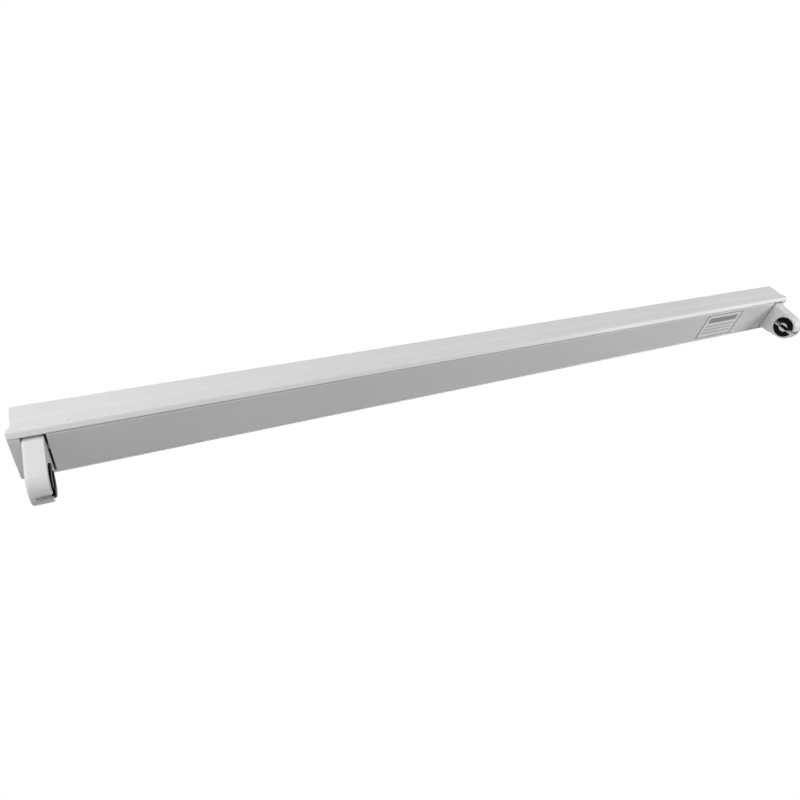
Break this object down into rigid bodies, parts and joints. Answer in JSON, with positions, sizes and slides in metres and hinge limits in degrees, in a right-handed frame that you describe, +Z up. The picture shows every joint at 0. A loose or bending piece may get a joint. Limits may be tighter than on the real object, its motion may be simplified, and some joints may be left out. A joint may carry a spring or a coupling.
{
  "type": "fluorescent light fixture",
  "caption": "Slim white steel ceiling batten for a tube lamp, with turning pin lampholders at its ends and a snap-off gear cover.",
  "frame": {"origin": "centre of the flat ceiling face of the back channel", "axes": "+X along the lamp, +Z up to the ceiling, so the cover and lampholders hang towards -Z"},
  "size_m": [0.6214, 0.0354, 0.0496],
  "materials": {
    "white_paint": "white powder coat, semi-gloss",
    "white_plastic": "moulded white plastic, satin",
    "black_plastic": "moulded black plastic, satin",
    "zinc_steel": "zinc plated",
    "spring_steel": "bright spring steel",
    "bronze": "spring bronze",
    "brass": "turned brass",
    "paper": "plain paper sticker",
    "rubber": "moulded rubber",
    "grey_plastic": "moulded light grey plastic",
    "board": "glass fibre circuit board",
    "ferrite": "dark ferrite with a lacquered winding",
    "capacitor": "sleeved capacitor",
    "transistor": "plain aluminium strip with black packages",
    "orange_plastic": "moulded orange plastic",
    "brown_wire": "insulated wire",
    "blue_wire": "insulated wire",
    "earth_wire": "insulated wire, green with a yellow stripe",
    "white_wire": "insulated wire"
  },
  "bodies": {
    "fixture": {"base_channel": "white_paint", "cover_clips": "spring_steel", "holder_screws": "zinc_steel", "ballast_case": "grey_plastic", "ballast_lid": "grey_plastic", "ballast_board": "board", "ballast_choke": "ferrite", "ballast_capacitors": "capacitor", "ballast_transistors": "transistor", "ballast_terminals": "orange_plastic", "ballast_screws": "zinc_steel", "terminal_block": "white_plastic", "terminal_clamps": "brass", "terminal_screws": "zinc_steel", "terminal_fixings": "zinc_steel", "cable_grommet": "rubber", "earth_tag": "brass", "earth_washer": "zinc_steel", "earth_screw": "brass", "wire_live": "brown_wire", "wire_neutral": "blue_wire", "wire_earth": "earth_wire", "wire_clips": "white_plastic", "end_plate_left": "white_paint", "holder_bracket_left": "zinc_steel", "holder_body_left": "white_plastic", "holder_back_left": "white_plastic", "contacts_left": "bronze", "lamp_wires_left": "white_wire", "end_plate_right": "white_paint", "holder_bracket_right": "zinc_steel", "holder_body_right": "white_plastic", "holder_back_right": "white_plastic", "contacts_right": "bronze", "lamp_wires_right": "white_wire"},
    "cover": {"cover": "white_paint", "rating_label": "paper"},
    "rotor_left": {"rotor_core_left": "white_plastic", "rotor_ring_left": "black_plastic"},
    "rotor_right": {"rotor_core_right": "white_plastic", "rotor_ring_right": "black_plastic"}
  },
  "joints": [
    {"name": "cover_release", "type": "slide", "parent": "fixture", "child": "cover", "axis": [0, 0, -1], "range_m": [0, 0.055]},
    {"name": "rotor_left_turn", "type": "hinge", "parent": "fixture", "child": "rotor_left", "pos_m": [-0.2952, 0, -0.039], "axis": [1, 0, 0], "range_deg": [-90, 90]},
    {"name": "rotor_right_turn", "type": "hinge", "parent": "fixture", "child": "rotor_right", "pos_m": [0.2952, 0, -0.039], "axis": [1, 0, 0], "range_deg": [-90, 90]}
  ]
}
